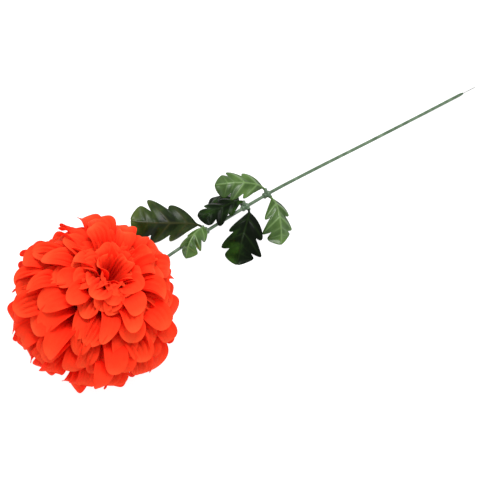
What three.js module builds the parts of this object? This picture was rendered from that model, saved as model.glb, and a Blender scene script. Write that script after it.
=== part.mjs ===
// An artificial pompom chrysanthemum on a wire stem, lying on a table.
//
// Millimetres, +Z up. The stem runs along +X, from the flower head to the bare wire tip.
// The head is a stack of die-cut fabric discs on a plastic pin. Each disc is one ring of
// petals that rises from its hub, bends over and lies along the ball. The discs near the
// top make the whorl of the face, and the discs near the bottom bend back past the equator.

import * as THREE from 'three';

// ---- Driving dimensions ----

// The head is laid out about the centre of its ball. Its face axis leans towards -Y, and
// the lean is then turned about Z, a little towards the stem.
const HEAD_RADIUS = 71;
const HEAD_CENTRE = new THREE.Vector3(0, 0, 60.5);
const FACE_LEAN = THREE.MathUtils.degToRad(23.5);
const FACE_TURN = THREE.MathUtils.degToRad(25);

// Petal discs, from the whorl (first) to the back of the head (last).
const LAYERS = 14;
const FABRIC_THICKNESS = 0.6;
const FIRST_TIP_ANGLE = 6;       // degrees from the face axis to the petal tips
const LAST_TIP_ANGLE = 128;
const PETAL_REACH = 36;          // degrees of the ball that one petal lies over
const FIRST_HUB_HEIGHT = 14;     // hubs along the pin, from the ball centre
const LAST_HUB_HEIGHT = -28;
const FIRST_HUB_RADIUS = 5;      // hubs grow, so each disc rises around the one above it
const HUB_RADIUS_STEP = 1.8;
const WIDEST_HUB = 14;
const WHORL_DEPTH = [10, 5, 2];  // how far the first discs' tips stop short of the ball
const PETAL_WIDTH = 21;
const PETAL_ROOT_SHARE = 0.62;   // share of the hub's rim that the petal roots take
const PETAL_CROWD_SHARE = 0.84;  // widest share of the room between neighbours
const FEWEST_PETALS = 5;
const EXTRA_PETALS = 10.5;

// Pin, button and calyx, along the face axis from the ball centre.
const PIN_RADIUS = 3;
const PIN_TOP = 16;
const PIN_BOTTOM = -37.4;
const BUTTON_RADIUS = 3.8;
const BUTTON_HEIGHT = 4.5;
const CALYX_TOP = -29.5;
const CALYX_STEP = -38;
const CALYX_BOTTOM = -46;
const CALYX_RADIUS = 13;
const CLEARANCE = 0.35;

// Stem: a steel wire in a plastic sheath.
const SHEATH_RADIUS = 1.55;
const SHEATH_BORE = 1.0;
const WIRE_RADIUS = 0.5;
const SHEATH_TOP = -38.3;        // along the face axis, inside the calyx
const BARE_WIRE = 17;
const WIRE_START = 4;            // how far below the sheath's top end the wire begins
const STEM_STEPS = 74;

// Leaves and the collars that carry them.
const COLLAR_RADIUS = 3;
const COLLAR_LENGTH = 8;
const LEAF_THICKNESS = 0.8;
const PETIOLE_START = COLLAR_RADIUS + 0.8;  // from the middle of the stem
const PETIOLE_REACH = 9;

// The table presses the lowest petals flat over this height.
const PRESS_HEIGHT = 10;

// ---- Materials ----

function material(colour, roughness, metalness = 0) {
  return new THREE.MeshStandardMaterial({ color: colour, roughness, metalness });
}

const petalFabric = () => material(0xf53a21, 0.85);
const stemPlastic = () => material(0x5f7d5f, 0.5);
const leafPlastic = () => material(0x3b5a26, 0.35);
const calyxPlastic = () => material(0x3f6b38, 0.5);
const bareSteel = () => material(0xb8b8b8, 0.35, 1);

// ---- Geometry helpers ----

function geometryFrom(points, faces) {
  const geometry = new THREE.BufferGeometry();
  geometry.setFromPoints(points);
  geometry.setIndex(faces.flat());
  geometry.computeVertexNormals();
  return geometry;
}

function surfaceNormals(points, faces) {
  const normals = points.map(() => new THREE.Vector3());
  for (const [a, b, c] of faces) {
    const ab = points[b].clone().sub(points[a]);
    const ac = points[c].clone().sub(points[a]);
    const faceNormal = ab.cross(ac);
    normals[a].add(faceNormal);
    normals[b].add(faceNormal);
    normals[c].add(faceNormal);
  }
  return normals.map((normal) => normal.normalize());
}

// Edges that only one face uses, in that face's direction.
function openEdges(faces) {
  const edges = new Map();
  for (const face of faces) {
    for (let i = 0; i < 3; i += 1) {
      const start = face[i];
      const end = face[(i + 1) % 3];
      if (!edges.delete(`${end}_${start}`)) {
        edges.set(`${start}_${end}`, [start, end]);
      }
    }
  }
  return [...edges.values()];
}

// A closed sheet of even thickness about an open surface.
function thicken(points, faces, thickness) {
  const normals = surfaceNormals(points, faces);
  const count = points.length;
  const upper = points.map((point, i) => point.clone().addScaledVector(normals[i], thickness / 2));
  const lower = points.map((point, i) => point.clone().addScaledVector(normals[i], -thickness / 2));
  const closed = [];
  for (const [a, b, c] of faces) {
    closed.push([a, b, c]);
    closed.push([c + count, b + count, a + count]);
  }
  for (const [start, end] of openEdges(faces)) {
    closed.push([end, start, start + count]);
    closed.push([end, start + count, end + count]);
  }
  return geometryFrom([...upper, ...lower], closed);
}

function addQuad(faces, a, b, c, d) {
  faces.push([a, b, c]);
  faces.push([a, c, d]);
}

// ---- Head ----

const headFrame = new THREE.Matrix4()
  .makeRotationX(FACE_LEAN)
  .premultiply(new THREE.Matrix4().makeRotationZ(FACE_TURN))
  .setPosition(HEAD_CENTRE);

function alongFaceAxis(distance) {
  return new THREE.Vector3(0, 0, distance).applyMatrix4(headFrame);
}

// A point in the plane of the face axis, as (distance from the axis, height).
function ballPoint(radius, degreesFromAxis) {
  const angle = THREE.MathUtils.degToRad(degreesFromAxis);
  return new THREE.Vector2(radius * Math.sin(angle), radius * Math.cos(angle));
}

// Heights near the table are squeezed smoothly, so nothing passes through it.
function pressOnTable(point) {
  if (point.z < PRESS_HEIGHT) {
    point.z = PRESS_HEIGHT * Math.exp((point.z - PRESS_HEIGHT) / PRESS_HEIGHT);
  }
  return point;
}

// The whorl's petals stop short of the ball, which leaves the hollow in the face.
function tipRadius(layer) {
  return HEAD_RADIUS - (WHORL_DEPTH[layer] ?? 0);
}

function petalProfile(layer) {
  const share = layer / (LAYERS - 1);
  const tipAngle = THREE.MathUtils.lerp(FIRST_TIP_ANGLE, LAST_TIP_ANGLE, share);
  const rootAngle = Math.max(tipAngle - PETAL_REACH, 0.25 * tipAngle + 3);
  const radius = tipRadius(layer);
  const hub = new THREE.Vector2(
    Math.min(FIRST_HUB_RADIUS + layer * HUB_RADIUS_STEP, WIDEST_HUB),
    THREE.MathUtils.lerp(FIRST_HUB_HEIGHT, LAST_HUB_HEIGHT, share));
  const rise = hub.clone().lerp(ballPoint(0.82 * radius, rootAngle), 0.72);
  const shoulder = ballPoint(1.1 * radius, THREE.MathUtils.lerp(rootAngle, tipAngle, 0.3));
  const tip = ballPoint(radius, tipAngle);
  return new THREE.CubicBezierCurve(hub, rise, shoulder, tip);
}

function petalCount(layer) {
  const share = layer / (LAYERS - 1);
  const tipAngle = THREE.MathUtils.lerp(FIRST_TIP_ANGLE, LAST_TIP_ANGLE, share);
  return Math.round(FEWEST_PETALS + EXTRA_PETALS * Math.sin(THREE.MathUtils.degToRad(tipAngle)));
}

// One disc: a flat hub with a hole for the pin, and a ring of petals, each three points wide.
function petalDisc(layer) {
  const ROWS = [0.3, 0.66, 0.9];
  const ROW_WIDTHS = [0.5, 0.95, 0.84];
  const profile = petalProfile(layer);
  const petals = petalCount(layer);
  const pitch = (2 * Math.PI) / petals;
  const rootHalfAngle = PETAL_ROOT_SHARE * pitch / 2;
  const phase = (layer % 2) * pitch / 2;
  const hub = profile.v0;
  const points = [];
  const faces = [];

  for (let petal = 0; petal < petals; petal += 1) {
    for (const radius of [PIN_RADIUS + CLEARANCE, hub.x]) {
      for (const side of [-1, 0, 1]) {
        const angle = phase + petal * pitch + side * rootHalfAngle;
        points.push(new THREE.Vector3(radius * Math.cos(angle), radius * Math.sin(angle), hub.y));
      }
    }
  }
  for (let petal = 0; petal < petals; petal += 1) {
    const inner = petal * 6;
    const next = ((petal + 1) % petals) * 6;
    addQuad(faces, inner, inner + 3, inner + 4, inner + 1);
    addQuad(faces, inner + 1, inner + 4, inner + 5, inner + 2);
    addQuad(faces, inner + 2, inner + 5, next + 3, next);
  }

  for (let petal = 0; petal < petals; petal += 1) {
    const angle = phase + petal * pitch;
    const outward = new THREE.Vector3(Math.cos(angle), Math.sin(angle), 0);
    const sideways = new THREE.Vector3(-Math.sin(angle), Math.cos(angle), 0);
    let previous = petal * 6 + 3;
    ROWS.forEach((t, row) => {
      const onProfile = profile.getPointAt(t);
      const room = PETAL_CROWD_SHARE * Math.abs(onProfile.x) * Math.tan(pitch / 2);
      const halfWidth = Math.min(ROW_WIDTHS[row] * PETAL_WIDTH / 2, room);
      const start = points.length;
      for (const side of [-1, 0, 1]) {
        const point = outward.clone().multiplyScalar(onProfile.x);
        point.z = onProfile.y;
        points.push(point.addScaledVector(sideways, side * halfWidth));
      }
      addQuad(faces, previous, start, start + 1, previous + 1);
      addQuad(faces, previous + 1, start + 1, start + 2, previous + 2);
      previous = start;
    });
    const tip = profile.getPointAt(1);
    points.push(outward.clone().multiplyScalar(tip.x).setZ(tip.y));
    faces.push([previous, points.length - 1, previous + 1]);
    faces.push([previous + 1, points.length - 1, previous + 2]);
  }

  for (const point of points) {
    pressOnTable(point.applyMatrix4(headFrame));
  }
  return thicken(points, faces, FABRIC_THICKNESS);
}

// A solid turned about the face axis, from (radius, height) pairs.
function turned(outline, segments) {
  const profile = outline.map(([radius, height]) => new THREE.Vector2(radius, height));
  const geometry = new THREE.LatheGeometry(profile, segments);
  geometry.rotateX(Math.PI / 2);
  return geometry.applyMatrix4(headFrame);
}

function pin() {
  return turned([
    [0, PIN_BOTTOM],
    [PIN_RADIUS, PIN_BOTTOM],
    [PIN_RADIUS, PIN_TOP],
    [0, PIN_TOP],
  ], 16);
}

function button() {
  const base = PIN_TOP + CLEARANCE;
  return turned([
    [0, base],
    [BUTTON_RADIUS, base],
    [BUTTON_RADIUS, base + 0.35 * BUTTON_HEIGHT],
    [0.7 * BUTTON_RADIUS, base + 0.8 * BUTTON_HEIGHT],
    [0, base + BUTTON_HEIGHT],
  ], 16);
}

function calyx() {
  const pinBore = PIN_RADIUS + CLEARANCE;
  const stemBore = SHEATH_RADIUS + CLEARANCE;
  return turned([
    [stemBore, CALYX_BOTTOM],
    [stemBore + 1.4, CALYX_BOTTOM],
    [pinBore + 1.8, CALYX_STEP],
    [0.62 * CALYX_RADIUS, CALYX_TOP - 3.5],
    [CALYX_RADIUS, CALYX_TOP - 0.8],
    [CALYX_RADIUS, CALYX_TOP],
    [pinBore, CALYX_TOP],
    [pinBore, CALYX_STEP],
    [stemBore, CALYX_STEP],
    [stemBore, CALYX_BOTTOM],
  ], 20);
}

// ---- Stem ----

// The neck leaves the calyx, bends under the head and runs out low over the table.
const stemRoute = new THREE.CatmullRomCurve3([
  alongFaceAxis(SHEATH_TOP),
  alongFaceAxis(CALYX_BOTTOM),
  new THREE.Vector3(-7.6, 20.5, 10.8),
  new THREE.Vector3(-2.5, 26.5, 5.2),
  new THREE.Vector3(12, 32.5, 4.3),
  new THREE.Vector3(50, 39.5, 6.8),
  new THREE.Vector3(100, 41, 14),
  new THREE.Vector3(165, 40.5, 20),
  new THREE.Vector3(235, 40, 22),
  new THREE.Vector3(290, 40, 18.6),
  new THREE.Vector3(360, 40, 12.6),
  new THREE.Vector3(430, 39.6, 7.6),
  new THREE.Vector3(486, 39, 4.4),
  new THREE.Vector3(503, 38.6, 3.3),
], false, 'centripetal');
const stemLength = stemRoute.getLength();

// Part of the stem's route, by distance from its top end.
class Stretch extends THREE.Curve {
  constructor(from, to) {
    super();
    this.from = from / stemLength;
    this.to = to / stemLength;
  }

  getPoint(t, target = new THREE.Vector3()) {
    return stemRoute.getPointAt(THREE.MathUtils.lerp(this.from, this.to, t), target);
  }
}

function circle(radius, sides) {
  const shape = new THREE.Shape();
  for (let i = 0; i < sides; i += 1) {
    const angle = (2 * Math.PI * i) / sides;
    const x = radius * Math.cos(angle);
    const y = radius * Math.sin(angle);
    if (i === 0) {
      shape.moveTo(x, y);
    } else {
      shape.lineTo(x, y);
    }
  }
  shape.closePath();
  return shape;
}

function sheath() {
  const section = circle(SHEATH_RADIUS, 8);
  section.holes.push(circle(SHEATH_BORE, 8));
  return new THREE.ExtrudeGeometry(section, {
    steps: STEM_STEPS,
    extrudePath: new Stretch(0, stemLength - BARE_WIRE),
  });
}

function wire() {
  return new THREE.ExtrudeGeometry(circle(WIRE_RADIUS, 6), {
    steps: STEM_STEPS,
    extrudePath: new Stretch(WIRE_START, stemLength),
  });
}

// Distance along the stem at which it reaches a given x, past the neck.
function stemDistanceAt(x) {
  let low = 0;
  let high = 1;
  for (let i = 0; i < 30; i += 1) {
    const middle = (low + high) / 2;
    if (stemRoute.getPointAt(middle).x < x) {
      low = middle;
    } else {
      high = middle;
    }
  }
  return low * stemLength;
}

// ---- Collars and leaves ----

// Each collar sits on the stem at one x and carries two or three leaves. A leaf is given by
// its tip, the way its upper face looks, and how wide, arched and folded it is.
const COLLARS = [
  {
    name: 'leaf_collar_upper',
    x: 160,
    leaves: [
      { name: 'leaf_1', tip: [104, 79, 40], facing: [-0.3, -0.62, 0.72], halfWidth: 25, arch: 5, fold: 12 },
      { name: 'leaf_2', tip: [125, 25, 20], facing: [-0.2, 0.1, 0.95], halfWidth: 16, arch: 12, fold: 30 },
    ],
  },
  {
    name: 'leaf_collar_middle',
    x: 208,
    leaves: [
      { name: 'leaf_3', tip: [166, 2, -2], facing: [-0.25, -0.3, 0.9], halfWidth: 24, arch: 12, fold: 14 },
      { name: 'leaf_4', tip: [160, 50, 31], facing: [0, -0.2, 0.97], halfWidth: 16, arch: 3, fold: 16 },
      { name: 'leaf_5', tip: [203, 84, -2], facing: [-0.1, 0.35, 0.93], halfWidth: 20, arch: 8, fold: 14 },
    ],
  },
  {
    name: 'leaf_collar_lower',
    x: 234,
    leaves: [
      { name: 'leaf_6', tip: [193, 66, 40], facing: [-0.1, -0.3, 0.95], halfWidth: 21, arch: 9, fold: 16 },
      { name: 'leaf_7', tip: [214, -4, -2], facing: [0.1, -0.35, 0.93], halfWidth: 19, arch: 12, fold: 22 },
    ],
  },
];

// Half of a leaf's outline: (share of its length, share of its half width).
const LEAF_OUTLINE = [
  [0.00, 0.06],
  [0.10, 0.07],
  [0.18, 0.50],
  [0.30, 0.70],
  [0.34, 0.38],
  [0.47, 1.00],
  [0.61, 0.95],
  [0.64, 0.48],
  [0.78, 0.64],
  [0.90, 0.38],
];

function collar(x) {
  const middle = stemDistanceAt(x);
  const section = circle(COLLAR_RADIUS, 12);
  section.holes.push(circle(SHEATH_RADIUS + CLEARANCE, 12));
  return new THREE.ExtrudeGeometry(section, {
    steps: 1,
    extrudePath: new Stretch(middle - COLLAR_LENGTH / 2, middle + COLLAR_LENGTH / 2),
  });
}

function leafBlade(collarX, leaf) {
  const onStem = stemRoute.getPointAt(stemDistanceAt(collarX) / stemLength);
  const tip = new THREE.Vector3(...leaf.tip);
  const facing = new THREE.Vector3(...leaf.facing).normalize();
  const crown = onStem.clone().lerp(tip, 0.55).addScaledVector(facing, 2 * leaf.arch);
  const outward = crown.clone().sub(onStem).setX(0).normalize();
  const base = onStem.clone().addScaledVector(outward, PETIOLE_START);
  const petioleEnd = base.clone().addScaledVector(outward, PETIOLE_REACH);
  const midrib = new THREE.CubicBezierCurve3(base, petioleEnd, crown, tip);
  const fold = THREE.MathUtils.degToRad(leaf.fold);
  const points = [];
  const faces = [];

  LEAF_OUTLINE.forEach(([share, width], row) => {
    const centre = midrib.getPointAt(share);
    const across = facing.clone().cross(midrib.getTangentAt(share)).normalize();
    const normal = midrib.getTangentAt(share).cross(across).normalize();
    const halfWidth = width * leaf.halfWidth;
    for (const side of [-1, 0, 1]) {
      points.push(centre.clone()
        .addScaledVector(across, side * halfWidth * Math.cos(fold))
        .addScaledVector(normal, -Math.abs(side) * halfWidth * Math.sin(fold)));
    }
    if (row > 0) {
      const last = points.length - 6;
      addQuad(faces, last, last + 3, last + 4, last + 1);
      addQuad(faces, last + 1, last + 4, last + 5, last + 2);
    }
  });
  points.push(midrib.getPointAt(1));
  const end = points.length - 1;
  faces.push([end - 3, end, end - 2]);
  faces.push([end - 2, end, end - 1]);

  for (const point of points) {
    pressOnTable(point);
  }
  return thicken(points, faces, LEAF_THICKNESS);
}

// ---- Assembly ----

const flower = new THREE.Group();

function add(name, geometry, finish) {
  const mesh = new THREE.Mesh(geometry, finish);
  mesh.name = name;
  flower.add(mesh);
}

for (let layer = 0; layer < LAYERS; layer += 1) {
  add(`petal_disc_${String(layer + 1).padStart(2, '0')}`, petalDisc(layer), petalFabric());
}
add('centre_button', button(), petalFabric());
add('head_pin', pin(), calyxPlastic());
add('calyx_cup', calyx(), calyxPlastic());
add('stem_sheath', sheath(), stemPlastic());
add('stem_wire', wire(), bareSteel());
for (const { name, x, leaves } of COLLARS) {
  add(name, collar(x), stemPlastic());
  for (const leaf of leaves) {
    add(leaf.name, leafBlade(x, leaf), leafPlastic());
  }
}

// The origin is the middle of the bottom of the whole object's box.
const box = new THREE.Box3().setFromObject(flower);
const middle = box.getCenter(new THREE.Vector3());
flower.position.set(-middle.x, -middle.y, -box.min.z);

export default flower;
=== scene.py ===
"""An artificial pompom chrysanthemum on a wire stem, lying on a table.

The lengths below are millimetres in the head's own layout, the same as the CAD's: its
ground point is straight under the centre of the ball, +X runs along the stem and +Z is up.
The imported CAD's pin shows where that point is in the frame, and to_world() turns the
layout's millimetres into the frame's metres.
"""
import math
import random

import bpy
import numpy as np
from mathutils import Matrix, Vector


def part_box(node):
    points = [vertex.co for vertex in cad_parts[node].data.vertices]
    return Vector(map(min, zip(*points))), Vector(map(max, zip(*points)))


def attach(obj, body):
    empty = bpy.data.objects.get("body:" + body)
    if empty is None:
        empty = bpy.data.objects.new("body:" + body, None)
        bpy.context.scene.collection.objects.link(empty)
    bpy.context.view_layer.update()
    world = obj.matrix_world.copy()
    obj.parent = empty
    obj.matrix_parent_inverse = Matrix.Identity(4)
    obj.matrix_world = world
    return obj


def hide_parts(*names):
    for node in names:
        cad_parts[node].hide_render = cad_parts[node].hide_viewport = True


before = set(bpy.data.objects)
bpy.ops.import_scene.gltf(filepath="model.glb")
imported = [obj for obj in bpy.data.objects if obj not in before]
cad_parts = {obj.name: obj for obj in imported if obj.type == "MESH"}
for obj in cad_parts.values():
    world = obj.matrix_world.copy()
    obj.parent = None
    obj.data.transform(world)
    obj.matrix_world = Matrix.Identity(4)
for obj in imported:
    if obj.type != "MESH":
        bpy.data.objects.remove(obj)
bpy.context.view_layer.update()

MM = 0.001

# ---- The head's layout, the same as the CAD's ----

HEAD_RADIUS = 71
HEAD_HEIGHT = 60.5
FACE_LEAN = math.radians(23.5)
FACE_TURN = math.radians(25)
LAYERS = 14
FIRST_TIP_ANGLE = 6
LAST_TIP_ANGLE = 128
PETAL_REACH = 36
FIRST_HUB_HEIGHT = 14
LAST_HUB_HEIGHT = -28
FIRST_HUB_RADIUS = 5
HUB_RADIUS_STEP = 1.8
WIDEST_HUB = 14
FEWEST_PETALS = 5
EXTRA_PETALS = 10.5
PIN_RADIUS = 3
PIN_TOP = 16
PIN_BOTTOM = -37.4
PRESS_HEIGHT = 10

FACE_AXIS = np.array([math.sin(FACE_LEAN) * math.sin(FACE_TURN),
                      -math.sin(FACE_LEAN) * math.cos(FACE_TURN),
                      math.cos(FACE_LEAN)])
HEAD_CENTRE = np.array([0, 0, HEAD_HEIGHT])


def box_middle(node):
    low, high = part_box(node)
    return (low + high) / 2


def find_origin():
    """The head's ground point in the frame, from the pin, whose middle is known."""
    pin_middle = HEAD_CENTRE + FACE_AXIS * (PIN_TOP + PIN_BOTTOM) / 2
    return np.array(box_middle("head_pin")) - pin_middle * MM


ORIGIN = find_origin()


def to_world(points):
    return np.asarray(points, float) * MM + ORIGIN


# ---- Camera ----

VIEW_AZIMUTH = math.radians(-40)
VIEW_ELEVATION = math.radians(45)
FOCAL_LENGTH = 189.65
SENSOR_WIDTH = 36
CAMERA_PLACE = (-876.1, -1244, 1659.1)
FAR_CLIP = 20


def make_camera():
    data = bpy.data.cameras.new("camera")
    data.lens = FOCAL_LENGTH
    data.sensor_width = SENSOR_WIDTH
    data.clip_end = FAR_CLIP
    camera = bpy.data.objects.new("camera", data)
    bpy.context.scene.collection.objects.link(camera)
    camera.location = to_world(CAMERA_PLACE)
    camera.rotation_euler = (math.pi / 2 - VIEW_ELEVATION, 0, VIEW_AZIMUTH)
    bpy.context.scene.camera = camera


make_camera()

# ---- Node material helpers ----


def new_material(name, colour, roughness):
    """A node material, with its tree and its Principled shader."""
    material = bpy.data.materials.new(name)
    material.use_nodes = True
    tree = material.node_tree
    shader = tree.nodes["Principled BSDF"]
    shader.inputs["Base Color"].default_value = (*colour, 1)
    shader.inputs["Roughness"].default_value = roughness
    return material, tree, shader


def node(tree, kind, **values):
    """A new node. Each value goes to the input of that name, or else to the setting."""
    made = tree.nodes.new(kind)
    for key, value in values.items():
        if key in made.inputs:
            made.inputs[key].default_value = value
        else:
            setattr(made, key, value)
    return made


def ramp(tree, source, stops):
    """A colour ramp over source, from (position, colour) stops."""
    made = node(tree, "ShaderNodeValToRGB")
    elements = made.color_ramp.elements
    while len(elements) < len(stops):
        elements.new(0.5)
    for element, (position, colour) in zip(elements, stops):
        element.position = position
        element.color = (*colour, 1)
    tree.links.new(source, made.inputs["Fac"])
    return made.outputs["Color"]


def mix(tree, factor, first, second, blend="MIX"):
    """Two colours mixed. Each of them, and the factor, is a socket or a plain value."""
    made = tree.nodes.new("ShaderNodeMix")
    made.data_type = "RGBA"
    made.blend_type = blend
    for name, value in (("Factor", factor), ("A", first), ("B", second)):
        socket = next(s for s in made.inputs if s.name == name and s.enabled)
        if isinstance(value, bpy.types.NodeSocket):
            tree.links.new(value, socket)
        else:
            socket.default_value = value
    return next(s for s in made.outputs if s.enabled)


def noise(tree, scale, detail=3.0, vector=None):
    made = node(tree, "ShaderNodeTexNoise", Scale=scale, Detail=detail)
    if vector is not None:
        tree.links.new(vector, made.inputs["Vector"])
    return made.outputs["Fac"]


def bump(tree, shader, height, strength, distance):
    """Bumps on the shader's normal, whose full height is distance in metres."""
    made = node(tree, "ShaderNodeBump", Strength=strength, Distance=distance)
    tree.links.new(height, made.inputs["Height"])
    tree.links.new(made.outputs["Normal"], shader.inputs["Normal"])


# ---- Materials ----


def petal_material():
    """Orange-red polyester, finely woven. Its colour is deeper towards the petal's root and
    lighter to its rim, which is painted shade in the ball's recesses.
    """
    material, tree, shader = new_material("petal_fabric", (0.95, 0.06, 0.02), 0.8)
    uv = node(tree, "ShaderNodeUVMap", uv_map="petal")
    split = node(tree, "ShaderNodeSeparateXYZ")
    tree.links.new(uv.outputs["UV"], split.inputs["Vector"])
    # Painted shade: the colour darkens from the rim to the root, deep in the ball's recesses.
    shaded_root_to_tip = ramp(tree, split.outputs["Y"], [
        (0.0, (0.97, 0.006, 0.002)),
        (0.4, (0.98, 0.018, 0.004)),
        (0.7, (0.99, 0.044, 0.011)),
        (0.9, (0.99, 0.078, 0.02)),
        (1.0, (0.99, 0.125, 0.034)),
    ])
    coords = node(tree, "ShaderNodeTexCoord")
    patches = noise(tree, 60, 4, coords.outputs["Object"])
    shade = ramp(tree, patches, [(0.35, (0.98, 0.78, 0.78)), (0.65, (1, 1, 1))])
    colour = mix(tree, 1.0, shaded_root_to_tip, shade, "MULTIPLY")
    tree.links.new(colour, shader.inputs["Base Color"])
    shader.inputs["Sheen Weight"].default_value = 0.06
    shader.inputs["Sheen Roughness"].default_value = 0.5
    shader.inputs["Sheen Tint"].default_value = (1, 0.35, 0.2, 1)
    shader.inputs["Specular IOR Level"].default_value = 0.12
    weave = noise(tree, 2500, 2, coords.outputs["Object"])
    bump(tree, shader, weave, 0.25, 0.0002)
    translucent = node(tree, "ShaderNodeBsdfTranslucent")
    tree.links.new(colour, translucent.inputs["Color"])
    blend = node(tree, "ShaderNodeMixShader", Fac=0.45)
    output = tree.nodes["Material Output"]
    tree.links.new(shader.outputs["BSDF"], blend.inputs[1])
    tree.links.new(translucent.outputs["BSDF"], blend.inputs[2])
    tree.links.new(blend.outputs["Shader"], output.inputs["Surface"])
    return material


# The leaf plastic's copies with painted light and shade: light is lit, olive is browner and half
# shaded, dark is in painted shade. For each: its blotches from dark to light, then its veins.
LEAF_PAINTED_LIGHTING = {
    "light": (
        (0.014, 0.036, 0.005),
        (0.034, 0.075, 0.012),
        (0.062, 0.12, 0.024),
        (0.12, 0.2, 0.065),
    ),
    "olive": (
        (0.003, 0.007, 0.001),
        (0.014, 0.027, 0.004),
        (0.045, 0.07, 0.01),
        (0.028, 0.03, 0.007),
    ),
    "dark": (
        (0.0015, 0.003, 0.001),
        (0.003, 0.007, 0.002),
        (0.016, 0.045, 0.005),
        (0.007, 0.016, 0.003),
    ),
}
# How much each copy shines: the copies in painted shade shine less.
LEAF_SPECULAR = {"light": 0.25, "olive": 0.13, "dark": 0.04}

# The painted lighting of each leaf that isn't in painted shade.
LEAF_PAINTED_LIGHTING_OF = {"leaf_1": "olive", "leaf_2": "light", "leaf_6": "light", "leaf_7": "light"}


def leaf_material(painted_lighting):
    """Glossy green plastic, with blotches and veins, in a copy whose colours paint light and
    shade.
    """
    dark, middle, light, vein_colour = LEAF_PAINTED_LIGHTING[painted_lighting]
    material, tree, shader = new_material(f"leaf_plastic_painted_shading_{painted_lighting}", middle, 0.32)
    shader.inputs["Specular IOR Level"].default_value = LEAF_SPECULAR[painted_lighting]
    coords = node(tree, "ShaderNodeTexCoord")
    blotches = noise(tree, 45, 4, coords.outputs["Object"])
    colour = ramp(tree, blotches, [(0.36, dark), (0.5, middle), (0.66, light)])
    vein = node(tree, "ShaderNodeAttribute", attribute_name="vein")
    pale = mix(tree, vein.outputs["Fac"], colour, (*vein_colour, 1))
    tree.links.new(pale, shader.inputs["Base Color"])
    pores = noise(tree, 900, 3, coords.outputs["Object"])
    bump(tree, shader, pores, 0.15, 0.0003)
    return material


def mottled_plastic(name, colour, noise_scale, stops, bump_distance):
    """Dull green plastic, mottled in colour and faintly uneven."""
    material, tree, shader = new_material(name, colour, 0.45)
    coords = node(tree, "ShaderNodeTexCoord")
    mottle = noise(tree, noise_scale, 4, coords.outputs["Object"])
    tree.links.new(ramp(tree, mottle, stops), shader.inputs["Base Color"])
    bump(tree, shader, mottle, 0.2, bump_distance)
    return material


def stem_material():
    stops = [
        (0.3, (0.03, 0.06, 0.025)),
        (0.5, (0.06, 0.105, 0.055)),
        (0.7, (0.11, 0.165, 0.1)),
    ]
    return mottled_plastic("stem_plastic", (0.11, 0.2, 0.11), 120, stops, 0.0004)


def calyx_material():
    stops = [(0.35, (0.03, 0.09, 0.025)), (0.7, (0.07, 0.17, 0.05))]
    return mottled_plastic("calyx_plastic", (0.05, 0.14, 0.04), 150, stops, 0.0003)


def wire_material():
    """Bare steel, with fine streaks drawn out along X, the way the wire runs."""
    material, tree, shader = new_material("bare_wire", (0.55, 0.55, 0.54), 0.35)
    shader.inputs["Metallic"].default_value = 1
    coords = node(tree, "ShaderNodeTexCoord")
    scale = node(tree, "ShaderNodeMapping")
    scale.inputs["Scale"].default_value = (30, 2500, 2500)
    tree.links.new(coords.outputs["Object"], scale.inputs["Vector"])
    drawn = noise(tree, 1, 3, scale.outputs["Vector"])
    colour = ramp(tree, drawn, [(0.3, (0.38, 0.38, 0.37)), (0.7, (0.66, 0.66, 0.65))])
    tree.links.new(colour, shader.inputs["Base Color"])
    bump(tree, shader, drawn, 0.3, 0.0001)
    return material


# ---- Mesh helpers ----


def make_piece(name, points, faces, material, replaced, uvs=None):
    """A smooth mesh piece that stands for its CAD nodes, from points in the layout."""
    mesh = bpy.data.meshes.new(name)
    mesh.from_pydata([tuple(p) for p in to_world(points)], [], faces)
    mesh.polygons.foreach_set("use_smooth", [True] * len(mesh.polygons))
    if uvs is not None:
        layer = mesh.uv_layers.new(name="petal")
        corners = np.empty(len(mesh.loops), int)
        mesh.loops.foreach_get("vertex_index", corners)
        layer.data.foreach_set("uv", np.asarray(uvs, float)[corners].ravel())
    mesh.materials.append(material)
    mesh.update()
    piece = bpy.data.objects.new(name, mesh)
    bpy.context.scene.collection.objects.link(piece)
    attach(piece, "root")
    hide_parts(*replaced)
    return piece


def thicken(piece, thickness):
    modifier = piece.modifiers.new("thickness", "SOLIDIFY")
    modifier.thickness = thickness * MM
    modifier.offset = 0


def smoothstep(low, high, value):
    t = np.clip((value - low) / (high - low), 0, 1)
    return t * t * (3 - 2 * t)


def press_on_table(points):
    """Heights near the table are squeezed smoothly, so nothing passes through it."""
    low = points[:, 2] < PRESS_HEIGHT
    depth = (points[low, 2] - PRESS_HEIGHT) / PRESS_HEIGHT
    points[low, 2] = PRESS_HEIGHT * np.exp(depth)
    return points


def grid_faces(start, rows, columns):
    """Quads over a grid of points whose first index is start."""
    faces = []
    for row in range(rows - 1):
        for column in range(columns - 1):
            a = start + row * columns + column
            faces.append((a, a + columns, a + columns + 1, a + 1))
    return faces


def capped_ring_faces(rings, sides):
    """The wall between rings of points, and a cap on each end."""
    faces = []
    for ring in range(rings - 1):
        for i in range(sides):
            a = ring * sides + i
            b = ring * sides + (i + 1) % sides
            faces.append((a, b, b + sides, a + sides))
    faces.append(tuple(range(sides - 1, -1, -1)))
    last = (rings - 1) * sides
    faces.append(tuple(range(last, last + sides)))
    return faces


def normalised(vectors):
    return vectors / np.linalg.norm(vectors, axis=1)[:, None]


def head_to_layout(points):
    """From the head's own axes, with the face axis along Z, to the layout."""
    lean = Matrix.Rotation(FACE_LEAN, 3, "X")
    turn = Matrix.Rotation(FACE_TURN, 3, "Z")
    return points @ np.array(turn @ lean).T + HEAD_CENTRE


# ---- Petal discs ----

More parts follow.
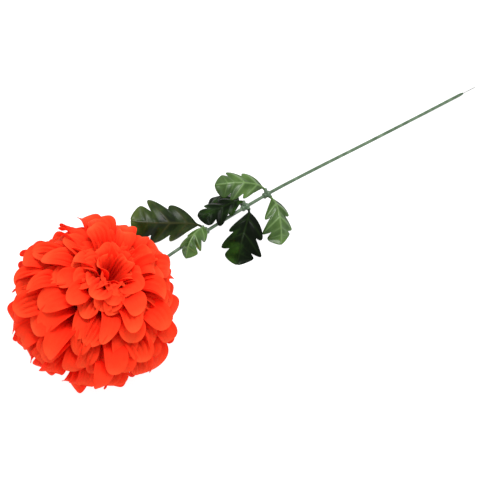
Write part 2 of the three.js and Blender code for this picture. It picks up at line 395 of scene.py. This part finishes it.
PETAL_ROWS = 26
PETAL_COLUMNS = 19
FABRIC_THICKNESS = 0.3
PETAL_HALF_WIDTH = 12
PETAL_WIDEST_AT = 0.72
PETAL_RIBS = 5
FLATTEST_CUP = 0.02
ROOT_SHARE_OF_PITCH = 0.62
PIN_CLEARANCE = 0.35

# The first layers make the whorl, whose tips sink and turn outward. The last are tucked in.
WHORL_DEPTH = [10, 5, 2]
WHORL_LAYERS = 4
WHORL_TURN = 9
TUCKED_LAYERS = (10, 12)
TUCKED_LIFT = -3

# What each petal draws from its disc's seed. Lists are choices, and pairs are ranges.
DISC_SEED = 100
TIP_TURNS = (-9, 6)
TIP_LIFTS = [-6, -4, -2, -1, 1, 3, 6]
SHOULDER_LIFTS = (-5, 4)
WIDTH_SHARES = (0.86, 1.14)
CUPS = [0.25, 0.5, 0.7, 0.9, 1.2]
TWISTS = (-0.45, 0.45)
LEANS = (-9, 9)
RIB_HEIGHTS = [0.2, 0.5, 0.9, 1.6, 2.3]
RUFFLES = (0.2, 1.2)
RUFFLE_WAVES = (1.2, 2.4)


def ball_point(radius, degrees_from_axis):
    angle = math.radians(degrees_from_axis)
    return np.array([radius * math.sin(angle), radius * math.cos(angle)])


def lerp(first, last, share):
    return first + (last - first) * share


def layer_tip_angle(layer):
    return lerp(FIRST_TIP_ANGLE, LAST_TIP_ANGLE, layer / (LAYERS - 1))


def layer_hub(layer):
    radius = min(FIRST_HUB_RADIUS + layer * HUB_RADIUS_STEP, WIDEST_HUB)
    return np.array([radius, lerp(FIRST_HUB_HEIGHT, LAST_HUB_HEIGHT, layer / (LAYERS - 1))])


def petal_count(layer):
    return round(FEWEST_PETALS + EXTRA_PETALS * math.sin(math.radians(layer_tip_angle(layer))))


def petal_profile(layer, tip_turn, tip_lift, shoulder_lift, steps):
    """Points and tangents of one petal's midline in the plane of the face axis."""
    radius = HEAD_RADIUS - (WHORL_DEPTH[layer] if layer < len(WHORL_DEPTH) else 0)
    tip_angle = layer_tip_angle(layer)
    root_angle = max(tip_angle - PETAL_REACH, 0.25 * tip_angle + 3)
    hub = layer_hub(layer)
    rise = hub + (ball_point(0.82 * radius, root_angle) - hub) * 0.72
    shoulder = ball_point(1.1 * radius + shoulder_lift + 0.7 * tip_lift,
                          lerp(root_angle, tip_angle, 0.3) + tip_turn / 2)
    tip = ball_point(radius + tip_lift, tip_angle + tip_turn)
    t = np.asarray(steps)[:, None]
    points = ((1 - t) ** 3 * hub + 3 * (1 - t) ** 2 * t * rise
              + 3 * (1 - t) * t ** 2 * shoulder + t ** 3 * tip)
    tangents = (3 * (1 - t) ** 2 * (rise - hub) + 6 * (1 - t) * t * (shoulder - rise)
                + 3 * t ** 2 * (tip - shoulder))
    return points, normalised(tangents)


def petal_half_widths(steps, half_width, root_half_width):
    """A spatula: narrow at the root, widest at nearly three quarters, round at the tip."""
    swell = smoothstep(0.05, PETAL_WIDEST_AT, steps) ** 0.8
    body = root_half_width + (half_width - root_half_width) * swell
    end = np.clip((steps - PETAL_WIDEST_AT) / (1 - PETAL_WIDEST_AT), 0, 1)
    return body * np.sqrt(np.clip(1 - end ** 2.3, 0.012, 1))


def roomy_widths(layer, whorl, midline, steps, half_width, root_half_width):
    """Half widths along the petal, kept to the room that the disc's petals share."""
    pitch = math.pi / petal_count(layer)
    room = (1.15 + 0.6 * whorl) * np.abs(midline[:, 0]) * math.tan(pitch)
    return np.minimum(petal_half_widths(steps, half_width, root_half_width),
                      np.maximum(room, root_half_width))


def cupped_section(widths, across, cup_angle):
    """Each row as an arc: how far its points go sideways, and how far they lift."""
    curl = np.clip(np.abs(cup_angle), FLATTEST_CUP, None)[:, None]
    reach = widths[:, None] / curl
    return reach * np.sin(curl * across), reach * (1 - np.cos(curl * across))


def petal_frame(angle, midline, tangents, lean, twist):
    """For each row, its centre and its sideways and upward directions."""
    outward = np.array([math.cos(angle), math.sin(angle), 0])
    tangential = np.array([-math.sin(angle), math.cos(angle), 0])
    axis = np.array([0, 0, 1])
    centre = midline[:, :1] * outward + midline[:, 1:] * axis + lean[:, None] * tangential
    normal = -tangents[:, 1:] * outward + tangents[:, :1] * axis
    cos_twist = np.cos(twist)[:, None]
    sin_twist = np.sin(twist)[:, None]
    right = cos_twist * tangential + sin_twist * normal
    up = cos_twist * normal - sin_twist * tangential
    return centre, right, up


def petal_points(layer, angle, root_half_angle, rng):
    """The grid of one petal, as rows from the hub's edge to the tip."""
    steps = np.sin(np.linspace(0, math.pi / 2, PETAL_ROWS)) ** 0.9
    across = np.linspace(-1, 1, PETAL_COLUMNS)
    whorl = max(0, 1 - layer / WHORL_LAYERS)
    tucked = smoothstep(*TUCKED_LAYERS, layer)

    turn = lerp(rng.uniform(*TIP_TURNS) * (1 - tucked), WHORL_TURN, whorl)
    tip_lift = rng.choice(TIP_LIFTS) + rng.uniform(-1.5, 1.5)
    tip_lift = lerp(tip_lift * (1 - 0.5 * whorl), TUCKED_LIFT, tucked)
    shoulder_lift = rng.uniform(*SHOULDER_LIFTS)
    midline, tangents = petal_profile(layer, turn, tip_lift, shoulder_lift, steps)
    half_width = PETAL_HALF_WIDTH * rng.uniform(*WIDTH_SHARES)
    root_half_width = layer_hub(layer)[0] * math.sin(root_half_angle)
    widths = roomy_widths(layer, whorl, midline, steps, half_width, root_half_width)

    cup = rng.choice(CUPS) + rng.uniform(-0.1, 0.1) + 0.2 * whorl
    cup_angle = cup * smoothstep(0.08, 0.6, steps) * lerp(1, 0.55, smoothstep(0.75, 1, steps))
    twist = rng.uniform(*TWISTS) * smoothstep(0.1, 1, steps)
    lean = rng.uniform(*LEANS) * steps ** 2 * (1 - 0.6 * whorl)
    rib_height = rng.choice(RIB_HEIGHTS)
    ruffle = rng.uniform(*RUFFLES)
    ruffle_phase = rng.uniform(0, 2 * math.pi)
    ruffle_waves = rng.uniform(*RUFFLE_WAVES)

    sideways, lift = cupped_section(widths, across, cup_angle)
    edge = np.abs(across) ** 3
    rib_window = smoothstep(0.2, 0.5, steps) * (1 - smoothstep(0.8, 0.98, steps))
    ribs = rib_height * np.cos(PETAL_RIBS * math.pi * across) * rib_window[:, None]
    waves = np.sin(ruffle_phase + 2 * math.pi * ruffle_waves * steps)
    fade = smoothstep(0.35, 0.7, steps) * widths / half_width
    lift = lift + ribs * (1 - edge) + ruffle * edge * (waves * fade)[:, None]

    centre, right, up = petal_frame(angle, midline, tangents, lean, twist)
    grid = (centre[:, None, :] + sideways[:, :, None] * right[:, None, :]
            + lift[:, :, None] * up[:, None, :])
    return grid, steps, across


def petal_disc(layer, material):
    """One die-cut disc: the hub's ring with a hole for the pin, and its ring of petals."""
    rng = random.Random(DISC_SEED + layer)
    petals = petal_count(layer)
    pitch = 2 * math.pi / petals
    root_half_angle = ROOT_SHARE_OF_PITCH * pitch / 2
    phase = (layer % 2) * pitch / 2
    hub = layer_hub(layer)
    rows = PETAL_ROWS + 1
    points = []
    uvs = []
    faces = []
    for petal in range(petals):
        angle = phase + petal * pitch
        bend = angle + rng.uniform(-0.07, 0.07)
        grid, steps, across = petal_points(layer, bend, root_half_angle, rng)
        spread = angle + across * root_half_angle
        ring = np.stack([np.cos(spread), np.sin(spread), np.zeros_like(spread)], axis=1)
        inner = ring * (PIN_RADIUS + PIN_CLEARANCE) + [0, 0, hub[1]]
        rim = ring * hub[0] + [0, 0, hub[1]]
        ease = smoothstep(0, 0.12, steps)[:, None, None]
        grid = grid + (1 - ease) * (rim - grid[0])[None]
        points.append(inner)
        points.append(grid.reshape(-1, 3))
        uvs.extend((v, 0) for v in across)
        uvs.extend((v, step) for step in steps for v in across)
        start = petal * rows * PETAL_COLUMNS
        faces += grid_faces(start, rows, PETAL_COLUMNS)
        last = start + PETAL_COLUMNS - 1
        following = ((petal + 1) % petals) * rows * PETAL_COLUMNS
        faces.append((last, last + PETAL_COLUMNS, following + PETAL_COLUMNS, following))
    points = press_on_table(head_to_layout(np.concatenate(points)))
    name = f"petal_disc_{layer + 1:02d}"
    piece = make_piece(name + "_fabric", points, faces, material, [name], uvs)
    thicken(piece, FABRIC_THICKNESS)


fabric = petal_material()
for layer in range(LAYERS):
    petal_disc(layer, fabric)

# ---- Stem ----

SHEATH_RADIUS = 1.55
WIRE_RADIUS = 0.5
BARE_WIRE = 17
SHEATH_TOP = -38.3
WIRE_IN_SHEATH = 20
SHEATH_UNEVENNESS = 0.12
CALYX_TOP = -29.5
CALYX_BOTTOM = -46
CALYX_RADIUS = 13
CALYX_WALL = 1.6
BUTTON_RADIUS = 3.8
BUTTON_HEIGHT = 3.2
COLLAR_RADIUS = 3
COLLAR_LENGTH = 8


def along_face_axis(distance):
    return HEAD_CENTRE + FACE_AXIS * distance


STEM_ROUTE = [
    along_face_axis(SHEATH_TOP),
    along_face_axis(CALYX_BOTTOM),
    (-7.6, 20.5, 10.8),
    (-2.5, 26.5, 5.2),
    (12, 32.5, 4.3),
    (50, 39.5, 6.8),
    (100, 41, 14),
    (165, 40.5, 20),
    (235, 40, 22),
    (290, 40, 18.6),
    (360, 40, 12.6),
    (430, 39.6, 7.6),
    (486, 39, 4.4),
    (503, 38.6, 3.3),
]


def centripetal_curve(knots, steps_each):
    """A Catmull-Rom curve through the knots, as evenly spaced points about a millimetre apart."""
    knots = np.asarray(knots, float)
    ends = [2 * knots[0] - knots[1], 2 * knots[-1] - knots[-2]]
    padded = np.vstack([ends[0], knots, ends[1]])
    points = []
    for i in range(len(knots) - 1):
        p0, p1, p2, p3 = padded[i:i + 4]
        d0, d1, d2 = [np.linalg.norm(b - a) ** 0.5 for a, b in ((p0, p1), (p1, p2), (p2, p3))]
        m1 = ((p1 - p0) / d0 - (p2 - p0) / (d0 + d1) + (p2 - p1) / d1) * d1
        m2 = ((p2 - p1) / d1 - (p3 - p1) / (d1 + d2) + (p3 - p2) / d2) * d1
        t = np.linspace(0, 1, steps_each, endpoint=False)[:, None]
        points.append((2 * t ** 3 - 3 * t ** 2 + 1) * p1 + (t ** 3 - 2 * t ** 2 + t) * m1
                      + (-2 * t ** 3 + 3 * t ** 2) * p2 + (t ** 3 - t ** 2) * m2)
    points.append(knots[-1:])
    points = np.concatenate(points)
    return resample(points, 1.0)


def resample(points, spacing):
    lengths = np.concatenate([[0], np.cumsum(np.linalg.norm(np.diff(points, axis=0), axis=1))])
    count = max(2, int(round(lengths[-1] / spacing)) + 1)
    places = np.linspace(0, lengths[-1], count)
    return np.stack([np.interp(places, lengths, points[:, k]) for k in range(3)], axis=1)


STEM = centripetal_curve(STEM_ROUTE, 60)


def tube(path, radii, sides=20):
    """Points and faces of a capped tube along a path, with one radius for each path point."""
    path = np.asarray(path, float)
    tangents = normalised(np.gradient(path, axis=0))
    side = np.cross(tangents[0], [0, 0, 1.0])
    if np.linalg.norm(side) < 0.1:
        side = np.cross(tangents[0], [0, 1.0, 0])
    points = []
    for centre, tangent, radius in zip(path, tangents, radii):
        side = side - tangent * side.dot(tangent)
        side /= np.linalg.norm(side)
        other = np.cross(tangent, side)
        angles = np.linspace(0, 2 * math.pi, sides, endpoint=False)[:, None]
        points.append(centre + radius * (np.cos(angles) * side + np.sin(angles) * other))
    return np.concatenate(points), capped_ring_faces(len(path), sides)


def merge(*parts):
    """Several (points, faces) shapes as one."""
    points = []
    faces = []
    for part_points, part_faces in parts:
        base = sum(len(p) for p in points)
        points.append(part_points)
        faces.extend(tuple(i + base for i in face) for face in part_faces)
    return np.concatenate(points), faces


def turned(outline, sides=40):
    """A capped solid turned about the face axis, from (radius, height) pairs."""
    path = [along_face_axis(height) for _, height in outline]
    points = []
    across = np.array([1.0, 0, 0])
    other = np.cross(FACE_AXIS, across)
    angles = np.linspace(0, 2 * math.pi, sides, endpoint=False)[:, None]
    for centre, (radius, _) in zip(path, outline):
        points.append(centre + radius * (np.cos(angles) * across + np.sin(angles) * other))
    return np.concatenate(points), capped_ring_faces(len(path), sides)


def make_stem():
    """The sheath, a little uneven and pinched at its tail, and the wire that leaves it."""
    plastic = stem_material()
    sheath_end = len(STEM) - 1 - BARE_WIRE
    path = STEM[:sheath_end + 1]
    rng = np.random.default_rng(7)
    wobble = np.convolve(rng.normal(0, 1, len(path) + 30), np.ones(31) / 31, "valid")
    radii = SHEATH_RADIUS * (1 + SHEATH_UNEVENNESS * wobble)
    radii[-6:] *= np.linspace(1, 0.72, 6)
    points, faces = tube(path, radii)
    make_piece("stem_sheath_tube", points, faces, plastic, ["stem_sheath"])
    wire_path = STEM[sheath_end - WIRE_IN_SHEATH:]
    radii = np.full(len(wire_path), WIRE_RADIUS)
    radii[-1] *= 0.6
    points, faces = tube(wire_path, radii, 12)
    make_piece("stem_wire_tip", points, faces, wire_material(), ["stem_wire"])
    return plastic


def make_calyx():
    """The cup under the discs, and the pin that they are threaded on."""
    green = calyx_material()
    wall = SHEATH_RADIUS + CALYX_WALL
    outline = [
        (SHEATH_RADIUS + 0.3, CALYX_BOTTOM + 0.4),
        (wall, CALYX_BOTTOM),
        (wall + 0.4, CALYX_BOTTOM + 0.8),
    ]
    for share in np.linspace(0, 1, 14):
        radius = lerp(wall + 0.5, CALYX_RADIUS, share ** 2.2)
        outline.append((radius, lerp(CALYX_BOTTOM + 1.2, CALYX_TOP - 0.8, share)))
    outline += [
        (CALYX_RADIUS, CALYX_TOP - 0.2),
        (CALYX_RADIUS - 0.8, CALYX_TOP),
        (PIN_RADIUS + 0.4, CALYX_TOP),
    ]
    points, faces = turned(outline, 60)
    make_piece("calyx_cup_moulded", points, faces, green, ["calyx_cup"])
    outline = [
        (PIN_RADIUS - 0.4, PIN_BOTTOM),
        (PIN_RADIUS, PIN_BOTTOM + 0.4),
        (PIN_RADIUS, PIN_TOP - 0.4),
        (PIN_RADIUS - 0.4, PIN_TOP),
    ]
    points, faces = turned(outline)
    make_piece("head_pin_moulded", points, faces, green, ["head_pin"])


def make_button(material):
    """The small dome in the hollow of the whorl, which stands on the pin."""
    base = PIN_TOP + PIN_CLEARANCE
    outline = [(BUTTON_RADIUS - 0.5, base), (BUTTON_RADIUS, base + 0.5)]
    for angle in np.linspace(0, 80, 9):
        turn = math.radians(angle)
        height = base + 1.2 + BUTTON_HEIGHT * math.sin(turn)
        outline.append((BUTTON_RADIUS * math.cos(turn), height))
    points, faces = turned(outline)
    # The dome takes the petal colour a fifth of the way up from the root, which is dark with
    # painted shade.
    uvs = np.tile([0, 0.2], (len(points), 1))
    make_piece("centre_button_dome", points, faces, material, ["centre_button"], uvs)


stem_plastic = make_stem()
make_calyx()
make_button(fabric)

# ---- Collars and leaves ----

# Each collar's place along X, as in the CAD, and for each of its leaves: the tip, the way
# the upper face looks, half the width, how far it arches, and its fold in degrees.
COLLARS = [
    ("leaf_collar_upper", 160, [
        ("leaf_1", (104, 79, 40), (-0.3, -0.62, 0.72), 25, 5, 12),
        ("leaf_2", (125, 25, 20), (-0.2, 0.1, 0.95), 16, 12, 30),
    ]),
    ("leaf_collar_middle", 208, [
        ("leaf_3", (166, 2, -2), (-0.25, -0.3, 0.9), 24, 12, 14),
        ("leaf_4", (160, 50, 31), (0, -0.2, 0.97), 16, 3, 16),
        ("leaf_5", (203, 84, -2), (-0.1, 0.35, 0.93), 20, 8, 14),
    ]),
    ("leaf_collar_lower", 234, [
        ("leaf_6", (193, 66, 40), (-0.1, -0.3, 0.95), 21, 9, 16),
        ("leaf_7", (214, -4, -2), (0.1, -0.35, 0.93), 19, 12, 22),
    ]),
]

# Lobes along the midrib: (middle, half length, reach as a share of the half width).
LOBES = [(0.25, 0.15, 0.82), (0.49, 0.175, 1.0), (0.77, 0.233, 0.62)]
SIDE_LOBES = LOBES[:2]
END_LOBE_MIDDLE = LOBES[2][0]
WEB_REACH = 0.46
FINE_VEINS_AT = (0.66, 0.78)
CROWN_SHARE = 0.55
ROOT_SLANT = math.radians(36)
TIP_SLANT = math.radians(12)
MIDRIB_WIDTH = 0.9
VEIN_HEIGHT = 0.75
PUCKER_HEIGHT = 0.66
PUCKERS = 4.1
DROOP = 0.012
LEAF_ROWS = 64
LEAF_COLUMNS = 27
LEAF_THICKNESS = 0.7
LEAF_SEED_STEP = 17
PETIOLE_START = COLLAR_RADIUS + 0.8
PETIOLE_REACH = 9
PETIOLE_SHARE = 0.8
PETIOLE_DEPTH = 0.7
NECK_POINTS = 60


def stem_index(x):
    """The point of the stem at x. The neck's own points, which double back, don't count."""
    past_neck = STEM[NECK_POINTS + 1:, 0]
    return NECK_POINTS + 1 + int(np.argmin(np.abs(past_neck - x)))


def unit(vector):
    vector = np.asarray(vector, float)
    return vector / np.linalg.norm(vector)


def cubic(p0, p1, p2, p3, t):
    t = np.asarray(t)[:, None]
    return ((1 - t) ** 3 * p0 + 3 * (1 - t) ** 2 * t * p1
            + 3 * (1 - t) * t ** 2 * p2 + t ** 3 * p3)


def leaf_crown(on_stem, leaf):
    """The point that a leaf arches towards, and the way that it leaves the stem."""
    tip, facing, arch = np.array(leaf[1], float), unit(leaf[2]), leaf[4]
    crown = on_stem + (tip - on_stem) * CROWN_SHARE + facing * 2 * arch
    return crown, unit((crown - on_stem) * [0, 1, 1])


def leaf_midrib(on_stem, leaf):
    """Evenly spaced points along the midrib, and three directions at each of them."""
    tip, facing = np.array(leaf[1], float), unit(leaf[2])
    crown, outward = leaf_crown(on_stem, leaf)
    base = on_stem + outward * PETIOLE_START
    midrib = cubic(base, base + outward * PETIOLE_REACH, crown, tip, np.linspace(0, 1, 400))
    length = np.linalg.norm(np.diff(midrib, axis=0), axis=1).sum()
    midrib = resample(midrib, length / (LEAF_ROWS - 1))
    tangents = normalised(np.gradient(midrib, axis=0))
    across = normalised(np.cross(facing, tangents))
    return midrib, tangents, across, np.cross(tangents, across)


def lobe_outline(shares, rng):
    """How far the blade reaches from the midrib, as a share of the half width."""
    reach = WEB_REACH * smoothstep(0.07, 0.2, shares) * (1 - smoothstep(0.75, 0.95, shares))
    for middle, half_length, size in LOBES:
        size *= rng.uniform(0.9, 1.1)
        middle += rng.uniform(-0.015, 0.015)
        inside = np.clip(1 - ((shares - middle) / half_length) ** 2, 0, 1)
        roundness = np.where(shares < END_LOBE_MIDDLE, 0.6, 0.72)
        reach = np.maximum(reach, size * inside ** roundness)
    return reach


def vein_strength(shares, spread, widest):
    """How much of a vein each point is: the midrib, one in each side lobe, and fine ones."""
    midrib = np.exp(-(spread * widest / MIDRIB_WIDTH) ** 2)[None, :]
    vein = midrib * np.ones((len(shares), 1))
    for middle, _, _ in SIDE_LOBES:
        line = np.exp(-((shares - middle) / 0.014) ** 2)[:, None] * (1 - spread) ** 0.4
        vein = np.maximum(vein, line)
    for middle in FINE_VEINS_AT:
        line = np.exp(-((shares - middle) / 0.011) ** 2)[:, None] * (1 - spread) ** 0.8
        vein = np.maximum(vein, 0.6 * line)
    return vein


def blade_lift(shares, spread, distance, vein):
    """Raised veins, puckers between them, and a droop towards the edge."""
    waves = np.cos(shares * 2 * math.pi * PUCKERS)[:, None]
    pucker = PUCKER_HEIGHT * np.sin(math.pi * spread)[None, :] * waves
    return VEIN_HEIGHT * vein + pucker - DROOP * distance ** 2


def leaf_blade(on_stem, leaf, rng):
    """The blade's points, faces and vein strengths, and its midrib with its normals."""
    half_width, fold_angle = leaf[3], math.radians(leaf[5])
    midrib, tangents, across, normals = leaf_midrib(on_stem, leaf)
    shares = np.linspace(0, 1, len(midrib))
    slant = lerp(ROOT_SLANT, TIP_SLANT, smoothstep(0.5, 0.95, shares))[:, None]
    columns = np.linspace(-1, 1, LEAF_COLUMNS)
    points = np.zeros((len(midrib), LEAF_COLUMNS, 3))
    veins = np.zeros((len(midrib), LEAF_COLUMNS))
    for side in (-1, 1):
        half = (columns * side) >= 0
        spread = np.abs(columns[half])
        reach = np.maximum(lobe_outline(shares, rng) * half_width, 0.9 * (1 - shares))
        distance = reach[:, None] * spread
        sideways = across * math.cos(fold_angle) * side - normals * math.sin(fold_angle)
        lay = sideways * np.cos(slant) + tangents * np.sin(slant)
        vein = vein_strength(shares, spread, reach.max())
        lift = blade_lift(shares, spread, distance, vein)
        points[:, half] = (midrib[:, None] + lay[:, None] * distance[:, :, None]
                           + normals[:, None] * lift[:, :, None])
        veins[:, half] = vein
    faces = grid_faces(0, len(midrib), LEAF_COLUMNS)
    return points.reshape(-1, 3), faces, veins.ravel(), midrib, normals


def make_leaf(collar_x, leaf, material):
    """A blade, and the petiole that runs on under its midrib."""
    name = leaf[0]
    rng = random.Random(int(name[-1]) * LEAF_SEED_STEP)
    on_stem = STEM[stem_index(collar_x)]
    points, faces, veins, midrib, normals = leaf_blade(on_stem, leaf, rng)
    press_on_table(points)
    piece = make_piece(name + "_blade", points, faces, material, [name])
    attribute = piece.data.attributes.new("vein", "FLOAT", "POINT")
    attribute.data.foreach_set("value", veins.astype(np.float32))
    thicken(piece, LEAF_THICKNESS)
    end = int(len(midrib) * PETIOLE_SHARE)
    rib = midrib[:end] - normals[:end] * PETIOLE_DEPTH
    press_on_table(rib)
    points, faces = tube(rib, np.linspace(1.15, 0.45, len(rib)), 12)
    make_piece(name + "_petiole", points, faces, material, [name])


def make_collar(name, x, leaves, material):
    """A sleeve with a rim at each end, and the peg that each of its leaves plugs on to."""
    middle = stem_index(x)
    half = COLLAR_LENGTH // 2
    path = STEM[middle - half:middle + half + 1]
    radii = np.full(len(path), COLLAR_RADIUS * 0.86)
    radii[[0, -1]] *= 0.84
    radii[1:3] *= 1.14
    radii[-3:-1] *= 1.14
    shapes = [tube(path, radii, 28)]
    for leaf in leaves:
        _, outward = leaf_crown(STEM[middle], leaf)
        peg = np.array([STEM[middle] + outward * reach for reach in np.linspace(1.5, 6.5, 6)])
        shapes.append(tube(peg, [1.9, 1.8, 1.7, 1.7, 1.75, 1.5], 16))
    points, faces = merge(*shapes)
    make_piece(name + "_moulded", points, faces, material, [name])


# One leaf plastic for each copy with painted light and shade.
leaf_plastics = {painted_lighting: leaf_material(painted_lighting) for painted_lighting in LEAF_PAINTED_LIGHTING}
for collar_name, collar_x, collar_leaves in COLLARS:
    make_collar(collar_name, collar_x, collar_leaves, stem_plastic)
    for collar_leaf in collar_leaves:
        # Each leaf takes its copy's painted light and shade; the leaves not listed take the
        # painted-shade copy.
        painted_lighting = LEAF_PAINTED_LIGHTING_OF.get(collar_leaf[0], "dark")
        make_leaf(collar_x, collar_leaf, leaf_plastics[painted_lighting])

# ---- Studio, in the frame's metres ----

FLOOR_HALF_WIDTH = 6
FLOOR_GREY = 0.25
FLOOR_GLOW = 0.92
WORLD_STRENGTH = 0.95
KEY_PLACE = (-0.2, -0.3, 2.0)
KEY_SIZE = 0.8
KEY_POWER = 40


def make_floor():
    """A pale floor that partly lights itself, so that shadows and colour casts stay faint."""
    mesh = bpy.data.meshes.new("floor")
    half = FLOOR_HALF_WIDTH
    corners = [(-half, -half, 0), (half, -half, 0), (half, half, 0), (-half, half, 0)]
    mesh.from_pydata(corners, [], [(0, 1, 2, 3)])
    material, _, shader = new_material("floor_white", (FLOOR_GREY,) * 3, 0.9)
    shader.inputs["Emission Color"].default_value = (1, 1, 1, 1)
    shader.inputs["Emission Strength"].default_value = FLOOR_GLOW
    mesh.materials.append(material)
    floor = bpy.data.objects.new("floor", mesh)
    bpy.context.scene.collection.objects.link(floor)


def make_light(name, place, size, power):
    data = bpy.data.lights.new(name, "AREA")
    data.size = size
    data.energy = power
    light = bpy.data.objects.new(name, data)
    bpy.context.scene.collection.objects.link(light)
    light.location = place
    light.rotation_euler = Vector(place).to_track_quat("Z", "Y").to_euler()


def make_studio():
    world = bpy.data.worlds.new("studio")
    world.use_nodes = True
    background = world.node_tree.nodes["Background"]
    background.inputs["Color"].default_value = (1, 1, 1, 1)
    background.inputs["Strength"].default_value = WORLD_STRENGTH
    bpy.context.scene.world = world
    make_floor()
    make_light("key", KEY_PLACE, KEY_SIZE, KEY_POWER)
    bpy.context.scene.view_settings.view_transform = "Standard"


make_studio()
